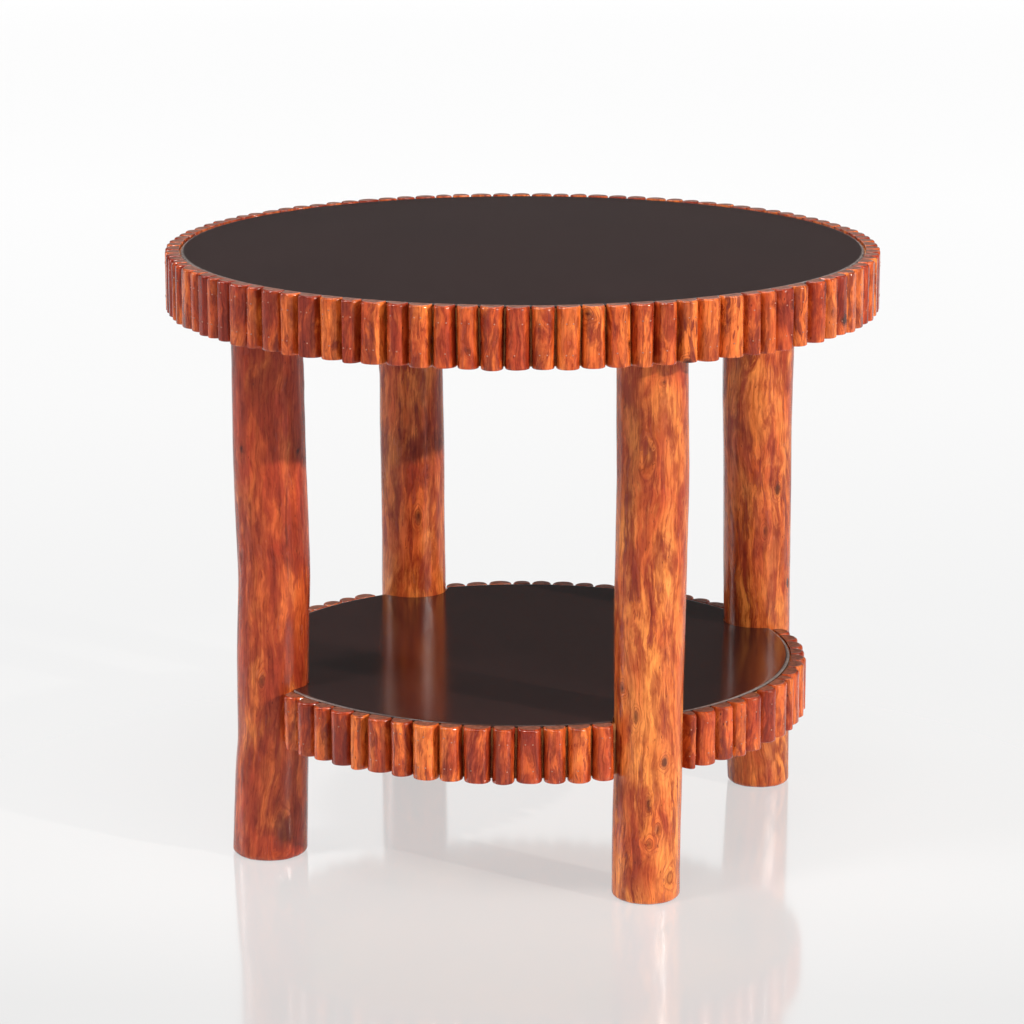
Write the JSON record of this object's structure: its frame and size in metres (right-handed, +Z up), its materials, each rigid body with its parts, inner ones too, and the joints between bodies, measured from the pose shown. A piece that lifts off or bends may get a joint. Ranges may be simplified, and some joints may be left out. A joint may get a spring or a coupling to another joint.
{
  "type": "rustic pole table",
  "caption": "Round rustic table with a lower shelf, on peeled hickory poles, edged all round with split sapling slats under a dark flat covering.",
  "frame": {"origin": "on the floor, under the middle of the round top", "axes": "+Z up; the poles stand on the diagonals, and -Y is the front, midway between the two front poles"},
  "size_m": [0.7598, 0.7604, 0.635],
  "materials": {
    "peeled_pole": "glossy amber varnish over peeled hickory",
    "split_slat": "glossy red-brown varnish over split hickory saplings",
    "dark_covering": "smooth, soft sheen, very dark brown",
    "board_wood": "stained board",
    "rim_wood": "stained, sawn",
    "block_wood": "plain, sawn"
  },
  "bodies": {
    "root": {"leg_back_left": "peeled_pole", "leg_back_right": "peeled_pole", "leg_front_left": "peeled_pole", "leg_front_right": "peeled_pole", "shelf_block_back_left": "block_wood", "shelf_block_back_right": "block_wood", "shelf_block_front_left": "block_wood", "shelf_block_front_right": "block_wood", "shelf_board": "board_wood", "shelf_covering": "dark_covering", "shelf_rim_1": "rim_wood", "shelf_rim_2": "rim_wood", "shelf_rim_3": "rim_wood", "shelf_rim_4": "rim_wood", "shelf_slats_1": "split_slat", "shelf_slats_2": "split_slat", "shelf_slats_3": "split_slat", "shelf_slats_4": "split_slat", "shelf_slats_5": "split_slat", "shelf_slats_6": "split_slat", "shelf_slats_7": "split_slat", "shelf_slats_8": "split_slat", "top_board": "board_wood", "top_covering": "dark_covering", "top_rim_1": "rim_wood", "top_rim_2": "rim_wood", "top_rim_3": "rim_wood", "top_rim_4": "rim_wood", "top_slats_1": "split_slat", "top_slats_2": "split_slat", "top_slats_3": "split_slat", "top_slats_4": "split_slat", "top_slats_5": "split_slat", "top_slats_6": "split_slat", "top_slats_7": "split_slat", "top_slats_8": "split_slat"}
  },
  "joints": []
}
